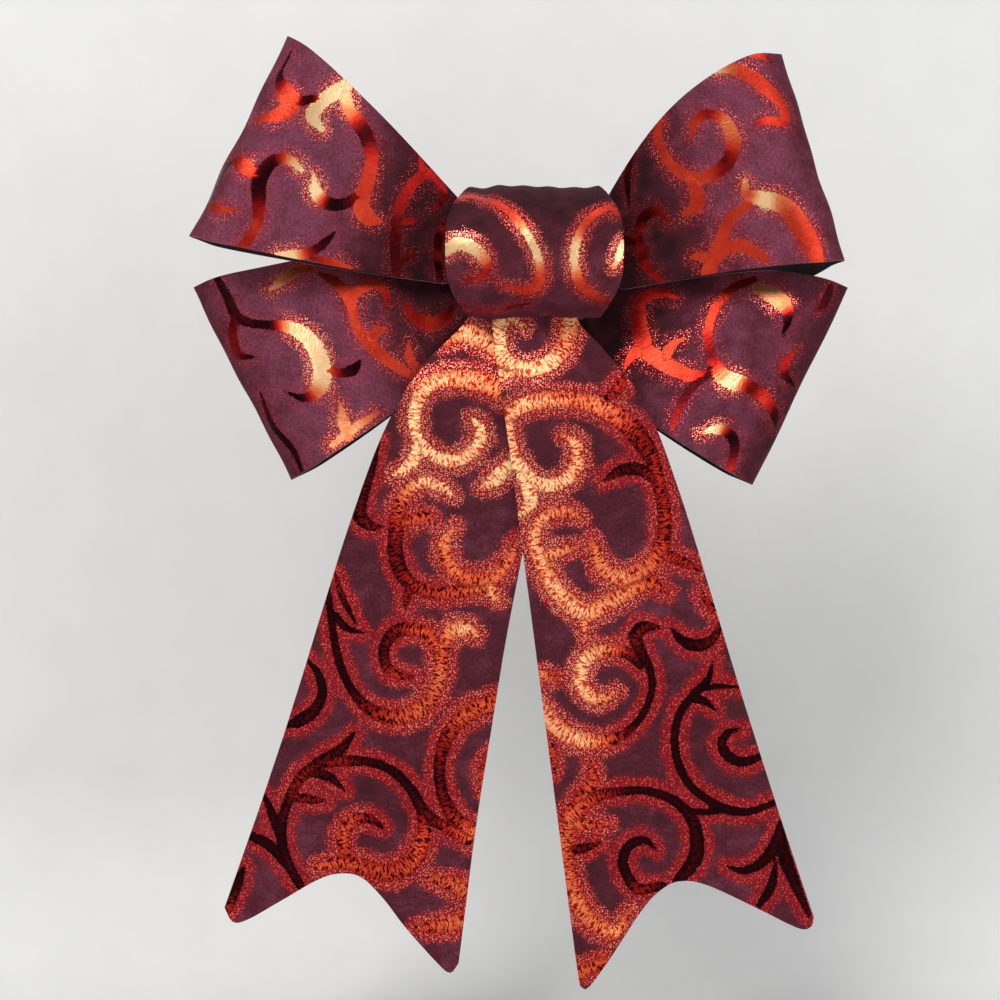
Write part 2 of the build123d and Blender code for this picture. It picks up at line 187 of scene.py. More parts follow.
SCROLLS["lower_left"] = [
    ([(-110.5, -9), (-107, -15), (-104, -21.5), (-99, -24.5), (-92, -25.3), (-85.5, -25.8), (-79, -29.5),
      (-75, -36), (-73.5, -43), (-75.5, -48.5), (-80, -50.8), (-86.5, -48.5)],
     (12, 16, 18, 16, 16, 22, 28, 30, 30, 24, 14, 4), (2, 2, 2, 3, 6, 80, 100, 100, 100, 70, 5, 2)),
    ([(-104, -21.5), (-105, -29), (-103, -35.5), (-97, -36.5)], (14, 17, 16, 4), (3, 25, 25, 3)),
    ([(-73, -41), (-67, -42), (-63, -40.8), (-60.3, -37.5)], (20, 16, 18, 4), (80, 20, 3, 2)),
    ([(-75, -7), (-70, -9.5), (-66, -13.5), (-63.5, -19), (-62, -25.5), (-56.5, -32.5), (-49.5, -38.5),
      (-40.5, -44)], (8, 18, 22, 18, 18, 23, 20, 12), (50, 52, 52, 52, 52, 52, 52, 50)),
    ([(-64.5, -17), (-61.5, -12.8), (-56, -10.8), (-52, -13.5), (-51, -18.5)], (12, 18, 14, 15, 4),
     (52, 52, 50, 40, 30)),
    ([(-58, -31), (-55, -27.5), (-51.5, -26)], (18, 15, 4), (52, 52, 50)),
    ([(-43.8, -31.5), (-43.2, -37), (-39.5, -41.5)], (4, 16, 8), 50),
    ([(-46, -16), (-42.5, -21.5), (-36.5, -24.5), (-31, -22.5), (-29, -19)], (5, 19, 24, 19, 10),
     (25, 35, 42, 35, 30)),
    ([(-67.3, -52.5), (-66, -59), (-64.5, -64)], (4, 18, 18), (75, 85, 80)),
    ([(-70, -67.5), (-62, -61), (-54, -55.5)], (10, 14, 5), (85, 85, 60)),
    ([(-92.5, -13), (-88, -9), (-82, -5.5), (-78, -5)], (4, 15, 17, 10), (85, 80, 75, 60)),
    ([(-95, -49), (-91, -60), (-84, -68.5), (-80.5, -76)], (5, 13, 13, 8), (10, 4, 2, 2)),
]
SCROLLS["lower_right"] = [
    ([(51, -15.5), (45, -13.5), (39, -15), (36.5, -20), (37.3, -27), (38, -32.5), (34.5, -35.5),
      (31.5, -40.5)], (4, 14, 22, 24, 26, 28, 18, 4), (30, 35, 35, 35, 40, 50, 50, 50)),
    ([(38, -33), (44, -37.5), (50, -41), (57, -43.3), (62, -40)], (24, 24, 22, 18, 8), (50, 50, 50, 40, 5)),
    ([(45.5, -38), (48, -32.5), (52.5, -29.8)], (18, 16, 4), 50),
    ([(77, -9), (70, -12), (64, -18.5), (61, -26.5), (61.5, -35), (65, -42.5), (70, -45.3), (75, -47),
      (80, -50.5), (83.5, -56), (84.5, -61)], (14, 17, 16, 15, 16, 24, 30, 24, 20, 16, 6),
     (42, 46, 48, 46, 20, 70, 100, 25, 45, 15, 4)),
    ([(78, -12), (83.5, -14.5), (87.8, -18.5), (88.5, -23), (86.8, -29)], (12, 28, 24, 16, 4),
     (75, 85, 70, 3, 2)),
    ([(60.5, -42.5), (54.5, -47.5), (50.5, -54), (48, -61)], (14, 16, 15, 8), (5, 12, 14, 20)),
    ([(58.5, -63), (63.5, -61.7), (67.8, -63.5), (69.7, -68), (67.5, -75.5)], (5, 18, 17, 15, 12),
     (80, 100, 5, 6, 35)),
    ([(103.5, -12), (101.5, -17.5), (99, -20)], (13, 14, 4), (5, 10, 10)),
    ([(91.5, -34), (87.5, -38.5), (87.5, -43), (91, -46.5)], (4, 15, 13, 4), (30, 35, 10, 2)),
]
SCROLLS["left_tail"] = [
    ([(-31, -31.5), (-25, -28), (-18, -30.5), (-10, -36)], (15, 34, 32, 26), (70, 80, 85, 80)),
    ([(-9, -50), (-17, -46), (-26, -44), (-34, -45), (-39, -49.5), (-41.3, -56.5), (-40.5, -64), (-36, -70),
      (-29, -72.6), (-22.5, -70.5), (-18.7, -65.5), (-19, -60.7), (-21.8, -58.3)],
     (34, 34, 32, 28, 25, 21, 20, 21, 22, 22, 21, 16, 6),
     (70, 75, 80, 85, 95, 100, 100, 100, 100, 100, 100, 100, 100)),
    ([(-40, -66), (-41, -71.5), (-45, -76), (-48.5, -77.5)], (20, 22, 19, 6), 100),
    ([(-28.5, -84.5), (-32, -81.7), (-38, -80), (-43.8, -83.5), (-47, -90), (-48, -98), (-47.8, -106),
      (-45, -113), (-39, -117.3), (-31, -118.5), (-22, -117), (-15.5, -117)],
     (7, 16, 19, 23, 25, 26, 27, 26, 23, 22, 22, 20), (95, 95, 95, 75, 50, 30, 20, 22, 40, 50, 60, 70)),
    ([(-46.5, -94), (-41.5, -93), (-37.5, -92), (-34.5, -94.5)], (18, 20, 16, 4), (50, 60, 60, 60)),
    ([(-43, -116), (-44.2, -120), (-45, -124)], (17, 14, 4), (25, 30, 30)),
    ([(-27.5, -95.5), (-31, -101), (-30, -107.5), (-25.5, -112.5), (-19, -114.3), (-12.5, -111.8),
      (-8.5, -106), (-6.3, -100)], (5, 20, 24, 28, 30, 26, 19, 5), (80, 80, 70, 60, 65, 70, 70, 60)),
    ([(-17, -114), (-14.5, -118.5), (-12, -121.5)], (20, 19, 6), (70, 85, 85)),
    ([(-53.5, -65.5), (-56, -75), (-59, -84.5), (-60.5, -91), (-57, -95), (-52.5, -95.5)],
     (4, 14, 18, 25, 18, 5), (15, 12, 10, 12, 20, 30)),
    ([(-18, -82), (-13.5, -79), (-9, -74.5)], (6, 24, 22), (95, 100, 100)),
    ([(-20, -133), (-24.5, -131), (-29, -132.5), (-32, -139), (-32.5, -147), (-35, -154), (-41, -160),
      (-49, -162), (-57, -159.3), (-63, -153), (-67, -145), (-69.2, -136), (-70.6, -126), (-71.5, -117)],
     (10, 26, 27, 25, 23, 26, 30, 30, 22, 16, 15, 14, 13, 9),
     (85, 85, 75, 60, 65, 60, 60, 50, 30, 8, 5, 5, 5, 5)),
    ([(-33, -139), (-36.5, -133.5), (-42, -131), (-48, -132), (-51.8, -137), (-51.8, -143), (-48, -147),
      (-42, -148)], (16, 22, 24, 24, 20, 19, 17, 6), (60, 55, 50, 20, 12, 20, 40, 40)),
    ([(-69, -126), (-65.5, -130.5), (-59, -132.5)], (12, 13, 3), (5, 4, 4)),
    ([(-79.5, -141), (-75, -147), (-73.7, -153.5), (-76.5, -159.5), (-82, -163.3), (-86.5, -165)],
     (4, 14, 17, 21, 22, 7), (3, 3, 3, 4, 5, 10)),
    ([(-12, -156.5), (-20, -159), (-27, -164), (-31.7, -172.5), (-33, -182), (-31.2, -191), (-27, -198),
      (-20, -203)], (32, 32, 28, 24, 20, 22, 26, 30), (55, 55, 50, 30, 15, 20, 40, 60)),
    ([(-14.5, -174), (-17.5, -181), (-17, -188)], (8, 18, 8), 50),
    ([(-62.8, -167.5), (-67.5, -173.5), (-75, -178), (-82, -184), (-86.5, -193), (-88.3, -203), (-86.5, -212),
      (-82, -220.5), (-80, -223)], (6, 19, 22, 19, 17, 18, 18, 16, 10), (8, 8, 10, 30, 15, 5, 5, 8, 40)),
    ([(-75, -178), (-66, -177.3), (-56, -178), (-48, -182), (-42, -189), (-38, -196), (-31, -200.5),
      (-23, -204.5)], (22, 20, 16, 17, 19, 22, 20, 24), (15, 30, 8, 5, 8, 15, 30, 60)),
    ([(-78, -181.5), (-71.5, -183), (-66, -188)], (16, 17, 4), (20, 10, 15)),
    ([(-84.5, -190), (-79, -190.7), (-73, -191.5)], (14, 18, 6), (30, 25, 30)),
    ([(-99.5, -203.5), (-94, -206), (-90, -209.5), (-86.5, -214)], (16, 19, 18, 14), (3, 3, 3, 4)),
    ([(-94.5, -189), (-91.5, -196), (-89, -203)], (7, 16, 16), (5, 4, 4)),
    ([(-52.8, -201), (-57, -197.8), (-62.8, -198.3), (-66.8, -203.3), (-66, -210.5)], (5, 16, 21, 23, 22),
     (8, 30, 50, 50, 50)),
    ([(-76, -215), (-66, -213), (-57, -215.5), (-49, -216.5), (-42, -211.5), (-38.3, -203), (-39, -195.5)],
     (10, 26, 30, 33, 33, 26, 16), (60, 55, 50, 50, 50, 45, 20)),
    ([(-37, -218.5), (-29, -220.5), (-22, -223.5)], (7, 26, 32), (65, 65, 60)),
    ([(-41, -236), (-33, -235.3), (-23, -233)], (10, 26, 32), 60),
    ([(-101.5, -215), (-104, -221), (-106.5, -229)], (8, 20, 14), (6, 6, 40)),
    ([(-69, -112), (-66.5, -120), (-62, -129)], (5, 12, 5), (30, 20, 10)),
]
SCROLLS["right_tail"] = [
    ([(-3, -26), (-7, -24), (-11.5, -24.5), (-12, -31), (-10, -38), (-3, -41), (5, -39), (10.3, -33),
      (13, -24), (13.5, -19)], (6, 16, 24, 24, 28, 28, 28, 30, 32, 30),
     (95, 95, 100, 100, 95, 95, 95, 80, 80, 80)),
    ([(-11, -43), (-6, -41.5)], (22, 20), 90),
    ([(-9.5, -57.5), (-3.5, -53.5), (5, -51.8), (14, -52), (23, -54.2), (30, -58.5), (36.5, -65), (41, -73),
      (43.3, -82), (45, -90), (45, -98), (43, -105), (38, -110.5), (31, -113.2), (24.5, -110.5), (21.2, -105),
      (20, -99.5)], (24, 28, 28, 28, 30, 34, 34, 26, 24, 24, 25, 28, 30, 30, 26, 19, 5),
     (85, 85, 80, 70, 70, 50, 25, 30, 35, 40, 35, 55, 70, 75, 75, 75, 70)),
    ([(-8.8, -60), (-8, -68), (-4.5, -75.5), (1.5, -80.5), (8, -80.7), (13.3, -76.5), (15, -70.5),
      (13.5, -65.5), (9.8, -64)], (16, 20, 24, 23, 23, 23, 22, 17, 6),
     (90, 95, 100, 100, 100, 90, 90, 85, 80)),
    ([(-4.5, -76), (-2, -82.5), (-1.5, -87.5), (-5.5, -92)], (22, 24, 22, 8), (100, 100, 100, 95)),
    ([(24, -79.5), (30, -76), (36.5, -75.7), (41.5, -79)], (6, 20, 22, 18), (30, 10, 10, 30)),
    ([(25, -51), (29.5, -47), (31, -43)], (12, 20, 5), (40, 40, 30)),
    ([(16.5, -92.5), (12, -90.3), (6.5, -90.7), (1.7, -94), (0, -99.5), (2, -106), (5.5, -114),
      (11.5, -121.5), (18.5, -125.3), (26, -121.8), (33.5, -117.5), (40.5, -115), (46, -118)],
     (5, 17, 19, 20, 22, 26, 27, 30, 30, 26, 24, 22, 8),
     (75, 75, 80, 85, 85, 85, 85, 90, 85, 80, 75, 60, 50)),
    ([(4, -106), (9, -103.8), (15.5, -102.3)], (18, 18, 5), (85, 80, 70)),
    ([(17, -126), (18, -134)], (18, 5), (85, 80)),
    ([(44, -104.5), (50, -107), (57, -110)], (20, 20, 10), (50, 40, 40)),
    ([(3, -147.5), (8, -148)], (20, 8), (80, 60)),
    ([(2, -158), (8, -165.5), (16.5, -169.8), (26, -170), (33.5, -166), (38.5, -159.5), (41, -152),
      (40.3, -145), (37.2, -139), (35.2, -133.5), (38, -130.3), (43.5, -130.3)],
     (24, 28, 27, 22, 14, 13, 13, 14, 19, 24, 22, 6), (80, 85, 85, 60, 15, 6, 4, 4, 12, 20, 15, 20)),
    ([(29, -153), (22.5, -155.5), (17.3, -152), (16.2, -145.3), (20, -139.8), (27, -138.3), (33.5, -140),
      (37, -144)], (6, 20, 23, 24, 24, 22, 20, 12), (80, 85, 90, 95, 90, 70, 30, 8)),
    ([(47.5, -130.5), (51.5, -135), (57, -136.7), (62, -134.5), (65, -129)], (4, 17, 22, 17, 8),
     (3, 4, 5, 20, 20)),
    ([(62.2, -142), (60.5, -148.5), (55.5, -154), (51, -160), (49, -168), (50, -177), (54, -185),
      (60, -190.3), (67, -194), (75, -194.8), (84.5, -191.5)], (3, 13, 15, 15, 15, 15, 15, 15, 17, 14, 10),
     (2, 2, 2, 2, 2, 2, 2, 3, 3, 5, 5)),
    ([(54, -155.5), (59, -156), (63.5, -159.5)], (12, 14, 3), 2),
    ([(58.5, -152), (64, -151), (71, -151.3)], (10, 10, 5), (4, 5, 5)),
    ([(72.5, -166), (68, -167), (65.5, -171), (67.8, -175.5), (73, -177.5), (79, -175.5)],
     (3, 12, 17, 18, 18, 12), (2, 2, 2, 2, 4, 5)),
    ([(34, -229), (28, -237), (18.5, -231.5), (13, -221), (11, -210), (11.5, -200), (15, -194), (22, -189.3),
      (31, -187.7), (40, -187.7), (49, -191), (55, -197.3), (57, -205), (56, -212), (50.5, -219)],
     (6, 24, 28, 30, 32, 34, 34, 22, 16, 15, 18, 21, 25, 26, 20),
     (70, 75, 70, 65, 60, 60, 55, 40, 15, 5, 3, 3, 3, 4, 10)),
    ([(53, -194.5), (60, -195), (68, -194)], (12, 12, 12), (3, 4, 3)),
    ([(19.5, -177), (20.5, -184), (16, -191)], (5, 20, 26), (60, 55, 50)),
    ([(11, -198), (18, -199.2), (26, -199.5)], (24, 20, 5), (55, 60, 60)),
    ([(11, -208), (17, -207.7), (23.5, -205.5)], (20, 17, 5), (40, 20, 30)),
    ([(42.5, -208), (38.5, -205), (33.5, -206.7), (31, -212), (32.8, -217.5), (36.5, -222), (45, -221)],
     (4, 15, 18, 19, 19, 20, 15), (3, 3, 3, 3, 6, 30, 15)),
    ([(67.5, -214), (73, -215.7), (79, -213.2), (84, -207), (86.5, -199)], (4, 14, 18, 22, 14),
     (2, 3, 5, 6, 5)),
    ([(86, -203), (88, -212), (92, -222), (96, -231)], (18, 23, 17, 8), (4, 3, 4, 20)),
    ([(84.5, -212), (83, -221), (78.5, -228)], (5, 17, 10), (3, 3, 6)),
    ([(16, -251), (24, -248)], (24, 24), 60),
    ([(6, -172), (7, -181)], (14, 6), 50),
    ([(58, -119), (62, -124)], (10, 14), 40),
]
SCROLLS["knot"] = [
    ([(-25, -19.4), (-18, -20.8), (-10, -20.6), (-1, -18.6)], (4, 9, 10, 3), (20, 30, 30, 22)),
    ([(-26.5, 18.3), (-19, 17.6), (-12, 14.8), (-6.3, 9.8), (-2.2, 3.5), (0.8, -3), (2, -9), (0.8, -13.2),
      (-4, -14.7), (-10.5, -13.2)], (15, 16, 15, 15, 13, 13, 16, 20, 16, 6),
     (46, 48, 50, 60, 100, 100, 60, 50, 48, 45)),
    ([(-31, -1), (-26, 1), (-21, -0.3), (-17.3, -4), (-16.5, -8), (-18.8, -10.5), (-23, -11)],
     (20, 22, 21, 19, 14, 10, 4), (100, 100, 100, 80, 40, 40, 35)),
    ([(28.5, 11.5), (26, 14), (20.5, 11.3), (16.3, 6.5), (13.7, 0), (13.6, -6), (15.3, -12), (20, -16.3),
      (26, -18.5)], (6, 15, 14, 13, 14, 15, 19, 17, 10), (48, 50, 50, 62, 100, 95, 52, 50, 45)),
    ([(29.8, 2), (29, -2.5), (27, -7)], (7, 13, 6), (100, 100, 80)),
]


def mirrored(strokes):
    """The same strokes as seen from behind."""
    return [([(-x, z) for x, z in points], widths, tones) for points, widths, tones in strokes]


def scroll_field(strokes, flat, locate):
    """Per point of flat: distance inside the nearest stroke, its tone, and the place along and in it."""
    inside = np.full(len(flat), -50.0)
    tone = np.full(len(flat), 0.5)
    along = np.zeros((len(flat), 3))
    for number, (points, widths, tones) in enumerate(strokes):
        tones = np.broadcast_to(np.array(tones) / 100, len(points))
        line = smooth_line(np.c_[locate(np.array(points, float)), np.array(widths) / 10, tones])
        a, b = line[:-1], line[1:]
        start = np.r_[0, np.cumsum(np.linalg.norm(b[:, :2] - a[:, :2], axis=1))]
        low = line[:, :2].min(0) - 9
        high = line[:, :2].max(0) + 9
        near = np.where(((flat > low) & (flat < high)).all(1))[0]
        for piece in np.array_split(near, max(1, len(near) // 4000)):
            if not len(piece):
                continue
            p = flat[piece][:, None, :]
            d = (b - a)[None, :, :2]
            t = ((p - a[None, :, :2]) * d).sum(2) / np.maximum((d * d).sum(2), 1e-9)
            t = np.clip(t, 0, 1)
            gap = np.linalg.norm(p - a[None, :, :2] - d * t[..., None], axis=2)
            width = a[None, :, 2] + (b - a)[None, :, 2] * t
            depth = width - gap
            best = depth.argmax(1)
            row = np.arange(len(piece))
            value = depth[row, best]
            better = value > inside[piece]
            chosen, best, row = piece[better], best[better], row[better]
            inside[chosen] = value[better]
            tone[chosen] = a[best, 3] + (b - a)[best, 3] * t[row, best]
            side = np.cross(d[0, best], (p[row, 0] - a[best, :2]))
            along[chosen, 0] = start[best] + t[row, best] * (start[best + 1] - start[best])
            along[chosen, 1] = np.sign(side) * gap[row, best]
            along[chosen, 2] = 37.0 * (number + 1)
    return inside, tone, along


# ---- Materials ----


def srgb(red, green, blue):
    """A display colour, 0 to 255, as the linear colour that a shader takes."""
    def channel(c):
        c /= 255
        return c / 12.92 if c <= 0.04045 else ((c + 0.055) / 1.055) ** 2.4

    return (channel(red), channel(green), channel(blue), 1.0)


class Nodes:
    """Short hand for building a material's node tree."""

    def __init__(self, name):
        self.material = bpy.data.materials.new(name)
        self.material.use_nodes = True
        self.tree = self.material.node_tree
        self.shader = self.tree.nodes["Principled BSDF"]

    def add(self, kind, **values):
        node = self.tree.nodes.new(kind)
        for key, value in values.items():
            setattr(node, key, value)
        return node

    def link(self, source, target):
        if isinstance(source, bpy.types.NodeSocket):
            self.tree.links.new(source, target)
        else:
            target.default_value = source

    def math(self, operation, a, b=0.0, clamp=False):
        node = self.add("ShaderNodeMath", operation=operation, use_clamp=clamp)
        self.link(a, node.inputs[0])
        self.link(b, node.inputs[1])
        return node.outputs[0]

    def times(self, a, b):
        return self.math("MULTIPLY", a, b)

    def plus(self, a, b, clamp=False):
        return self.math("ADD", a, b, clamp)

    def minus(self, a, b, clamp=False):
        return self.math("SUBTRACT", a, b, clamp)

    def remap(self, value, low, high, to_low=0.0, to_high=1.0, smooth=False):
        node = self.add("ShaderNodeMapRange", interpolation_type="SMOOTHSTEP" if smooth else "LINEAR")
        self.link(value, node.inputs["Value"])
        node.inputs["From Min"].default_value = low
        node.inputs["From Max"].default_value = high
        node.inputs["To Min"].default_value = to_low
        node.inputs["To Max"].default_value = to_high
        return node.outputs[0]

    def attribute(self, name, vector=False):
        node = self.add("ShaderNodeAttribute", attribute_name=name)
        return node.outputs["Vector"] if vector else node.outputs["Fac"]

    def scaled(self, vector, factors):
        node = self.add("ShaderNodeVectorMath", operation="MULTIPLY")
        self.link(vector, node.inputs[0])
        node.inputs[1].default_value = factors
        return node.outputs[0]

    def noise(self, vector, scale, detail=2.0, rough=0.5):
        node = self.add("ShaderNodeTexNoise", noise_dimensions="3D")
        self.link(vector, node.inputs["Vector"])
        node.inputs["Scale"].default_value = scale
        node.inputs["Detail"].default_value = detail
        node.inputs["Roughness"].default_value = rough
        return node.outputs["Fac"]

    def mix(self, factor, a, b):
        node = self.add("ShaderNodeMix", data_type="RGBA")
        self.link(factor, node.inputs["Factor"])
        self.link(a, node.inputs[6])
        self.link(b, node.inputs[7])
        return node.outputs[2]

    def ramp(self, value, stops):
        node = self.add("ShaderNodeValToRGB")
        elements = node.color_ramp.elements
        while len(elements) < len(stops):
            elements.new(0.5)
        for element, (position, colour) in zip(elements, stops):
            element.position = position
            element.color = colour
        self.link(value, node.inputs[0])
        return node.outputs[0]

    def bump(self, height, strength, distance):
        node = self.add("ShaderNodeBump")
        node.inputs["Strength"].default_value = strength
        node.inputs["Distance"].default_value = distance
        self.link(height, node.inputs["Height"])
        self.link(node.outputs[0], self.shader.inputs["Normal"])

    def set(self, **values):
        for name, value in values.items():
            self.link(value, self.shader.inputs[name.replace("_", " ")])


def printed_velvet(name, crinkle, contrast, halo_reach, halo_full, dull_halo, dot_scale, core, crease_shade_strength, glow):
    """Velvet with foil scrollwork and a halo of glitter dots round each stroke."""
    m = Nodes(name)
    flat = m.attribute("flat", vector=True)
    inside = m.attribute("inside")
    tone = m.attribute("tone")
    along = m.attribute("along", vector=True)
    lie = m.attribute("lie")

    wobble = m.remap(m.noise(flat, 1.5, 3), 0.2, 0.8, -0.55, 0.55)
    beading = m.plus(1.0, m.remap(tone, 0.6, 1.0, 0.0, 0.9))
    edge = m.plus(inside, m.times(wobble, beading))
    foil = m.remap(edge, -0.15, 0.15, smooth=True)

    dots = m.add("ShaderNodeTexVoronoi", voronoi_dimensions="2D", feature="F1")
    dots.inputs["Scale"].default_value = dot_scale
    dots.inputs["Randomness"].default_value = 0.85
    m.link(flat, dots.inputs["Vector"])
    drift = m.remap(m.noise(flat, 0.22, 2), 0.3, 0.7, -0.7, 0.7)
    # The halo of dots is print, but it is painted stronger where the foil's painted reflection tone is bright
    # and duller where it is dark.
    vivid = m.remap(tone, 0.35, 0.9, dull_halo, 1.0)
    spread = m.remap(m.plus(edge, drift), -halo_reach, -halo_full, smooth=True)
    halo = m.times(spread, vivid)
    pick = m.add("ShaderNodeSeparateColor")
    m.link(dots.outputs["Color"], pick.inputs[0])
    size = m.times(m.math("POWER", halo, 0.42), m.remap(pick.outputs[1], 0, 1, 0.28, 0.44))
    kept = m.math("LESS_THAN", pick.outputs[0], m.math("POWER", halo, 0.35))
    round_dot = m.remap(m.minus(size, dots.outputs["Distance"]), -0.03, 0.05, smooth=True)
    glitter = m.times(m.times(round_dot, kept), m.minus(1.0, foil))
    shiny = m.plus(foil, glitter, clamp=True)

    bent = m.times(m.noise(flat, 0.5, 1), 2.2)
    bend = m.add("ShaderNodeCombineXYZ")
    m.link(bent, bend.inputs[0])
    shifted = m.add("ShaderNodeVectorMath", operation="ADD")
    m.link(m.scaled(along, (1.35, 0.42, 1.0)), shifted.inputs[0])
    m.link(bend.outputs[0], shifted.inputs[1])
    ribs = m.noise(shifted.outputs[0], 1.0, 2.5, 0.62)
    fine = m.noise(flat, 2.1, 3.0, 0.6)
    broad = m.noise(flat, 0.11, 2.0)
    # The crinkle cracks paint shade into the foil's creases, on top of their bump.
    cracks = m.remap(ribs, 0.48, 0.59, smooth=True)
    shade = m.minus(tone, m.times(cracks, contrast))
    shade = m.plus(shade, m.remap(fine, 0.3, 0.7, -0.35 * contrast, 0.35 * contrast))
    shade = m.plus(shade, m.remap(broad, 0.3, 0.7, -0.06, 0.06))
    # core paints shade at a stroke's edges and a lighter painted highlight in its middle.
    shade = m.plus(shade, m.remap(edge, 0.0, 2.0, -0.09 * core, 0.06 * core), clamp=True)
    # Foil colour is painted reflection: the tone picks near-black red for reflected shade, up to a pale gold
    # painted highlight.
    foil_colour = m.ramp(
        shade,
        [
            (0.0, srgb(28, 8, 11)),
            (0.14, srgb(74, 12, 16)),
            (0.36, srgb(164, 30, 24)),
            (0.55, srgb(208, 66, 42)),
            (0.78, srgb(240, 132, 82)),
            (1.0, srgb(255, 212, 156)),
        ],
    )
    # Dot colour is the glitter's own red, brightened by the foil's painted reflection tone and by random
    # painted glints.
    spark = m.plus(m.times(tone, 0.46), m.remap(pick.outputs[2], 0, 1, 0.04, 0.60), clamp=True)
    dot_colour = m.ramp(
        spark,
        [
            (0.0, srgb(112, 12, 20)),
            (0.35, srgb(204, 42, 44)),
            (0.65, srgb(244, 98, 82)),
            (1.0, srgb(255, 176, 146)),
        ],
    )

    nap = m.noise(flat, 0.13, 4.0, 0.62)
    pile = m.noise(flat, 1.05, 4.0, 0.8)
    # Painted light and shade on the velvet: lit and shaded copies of its colour, picked by the painted light
    # level, with random mottling of the nap.
    lit = m.plus(lie, m.remap(nap, 0.3, 0.7, -0.22, 0.22), clamp=True)
    velvet = m.ramp(lit, [(0.0, srgb(44, 14, 19)), (0.5, srgb(86, 33, 44)), (1.0, srgb(126, 62, 84))])
    velvet = m.mix(m.remap(pile, 0.42, 0.66), velvet, m.mix(0.62, velvet, srgb(26, 7, 12)))
    # The halo's red tint is print, painted stronger where the painted reflection tone is bright.
    velvet = m.mix(m.times(halo, glow), velvet, srgb(126, 14, 24))
    # Painted shade along thin crease lines in the velvet, with a matching dip in the bump.
    folded = m.math("ABSOLUTE", m.minus(m.noise(m.scaled(flat, (1.0, 1.9, 1.0)), 0.06, 2.0), 0.5))
    near_fold = m.remap(folded, 0.0, 0.020, 1.0, 0.0, smooth=True)
    crease_dip_and_shade = m.times(near_fold, m.remap(nap, 0.50, 0.60, 0.0, crease_shade_strength))
    crease_dip_and_shade = m.times(crease_dip_and_shade, m.minus(1.0, halo, clamp=True))
    velvet = m.mix(crease_dip_and_shade, velvet, srgb(30, 8, 14))
    colour = m.mix(glitter, velvet, dot_colour)
    colour = m.mix(foil, colour, foil_colour)
    m.set(Base_Color=colour, Metallic=shiny)
    m.set(Roughness=m.remap(shiny, 0, 1, 0.88, 0.32))
    m.set(Sheen_Weight=0.10, Sheen_Roughness=0.40, Sheen_Tint=srgb(210, 90, 140), Specular_IOR_Level=0.12)
    height = m.times(m.times(foil, crinkle), m.plus(ribs, m.times(fine, 0.7)))
    height = m.plus(height, m.times(glitter, 0.30))
    height = m.minus(height, m.times(crease_dip_and_shade, 0.5))
    height = m.plus(height, m.times(m.minus(1.0, shiny), m.times(pile, 0.55)))
    m.bump(height, 0.7, 0.00045)
    return m.material


def backing():
    """Near-black non-woven backing of the ribbon."""
    m = Nodes("ribbon_backing")
    flat = m.attribute("flat", vector=True)
    fibres = m.noise(m.scaled(flat, (1.0, 0.35, 1.0)), 2.4, 4.0, 0.7)
    cross = m.noise(m.scaled(flat, (0.35, 1.0, 1.0)), 2.4, 4.0, 0.7)
    both = m.times(fibres, cross)
    m.set(Base_Color=m.mix(m.remap(both, 0.1, 0.45), srgb(20, 12, 17), srgb(46, 30, 38)), Roughness=0.86)
    m.bump(both, 0.6, 0.0004)
    return m.material


def cut_edge_material():
    """Pale sealed fibres along the cut edges."""
    m = Nodes("ribbon_cut_edge")
    flat = m.attribute("flat", vector=True)
    frayed = m.noise(flat, 1.8, 4.0, 0.7)
    m.set(Base_Color=m.mix(m.remap(frayed, 0.35, 0.65), srgb(62, 34, 42), srgb(158, 122, 130)), Roughness=0.8)
    m.bump(frayed, 0.6, 0.0003)
    return m.material


def solid_material(name, low, high, scale, stretch, roughness, metallic, depth, sheen=0.0):
    """A two-tone surface with grain and bump, in object space."""
    m = Nodes(name)
    place = m.add("ShaderNodeTexCoord").outputs["Object"]
    grain = m.noise(m.scaled(place, stretch), scale, 4.0, 0.6)
    blotch = m.noise(place, scale * 0.13, 2.0)
    both = m.plus(m.times(grain, 0.6), m.times(blotch, 0.4))
    m.set(Base_Color=m.mix(m.remap(both, 0.35, 0.65), low, high), Metallic=metallic)
    m.set(Roughness=m.remap(grain, 0.3, 0.7, roughness - 0.08, roughness + 0.08))
    if sheen:
        m.set(Sheen_Weight=sheen)
    m.bump(grain, 0.5, depth)
    return m.material


LOOP_VELVET = printed_velvet(
    "velvet_loops", crinkle=0.35, contrast=0.05, halo_reach=4.6, halo_full=0.9, dull_halo=0.22,
    dot_scale=1.4, core=0.0, crease_shade_strength=0.0, glow=0.5,
)
TAIL_VELVET = printed_velvet(
    "velvet_tails", crinkle=1.2, contrast=0.46, halo_reach=4.6, halo_full=2.0, dull_halo=0.92,
    dot_scale=1.38, core=1.0, crease_shade_strength=0.7, glow=0.72,
)
KNOT_VELVET = printed_velvet(
    "velvet_knot", crinkle=0.45, contrast=0.08, halo_reach=4.0, halo_full=1.2, dull_halo=0.40,
    dot_scale=1.55, core=0.2, crease_shade_strength=0.2, glow=0.6,
)
BACKING = backing()
CUT_EDGE = cut_edge_material()
SOLIDS = {
    "wire_steel": ((120, 122, 126), (176, 178, 182), 900.0, (1, 1, 0.2), 0.34, 1.0, 0.00005),
    "tie_plastic": ((14, 48, 26), (28, 74, 42), 700.0, (1, 1, 0.3), 0.46, 0.0, 0.0001),
    "set_glue": ((196, 178, 138), (226, 214, 180), 260.0, (1, 1, 1), 0.24, 0.0, 0.0002),
    "wadding": ((206, 202, 194), (238, 236, 230), 420.0, (1, 1, 1), 0.9, 0.0, 0.0008, 0.4),
}
STEEL, TIE_PLASTIC, GLUE, WADDING = (
    solid_material(name, srgb(*low), srgb(*high), *rest) for name, (low, high, *rest) in SOLIDS.items()
)

# ---- Sheets ----


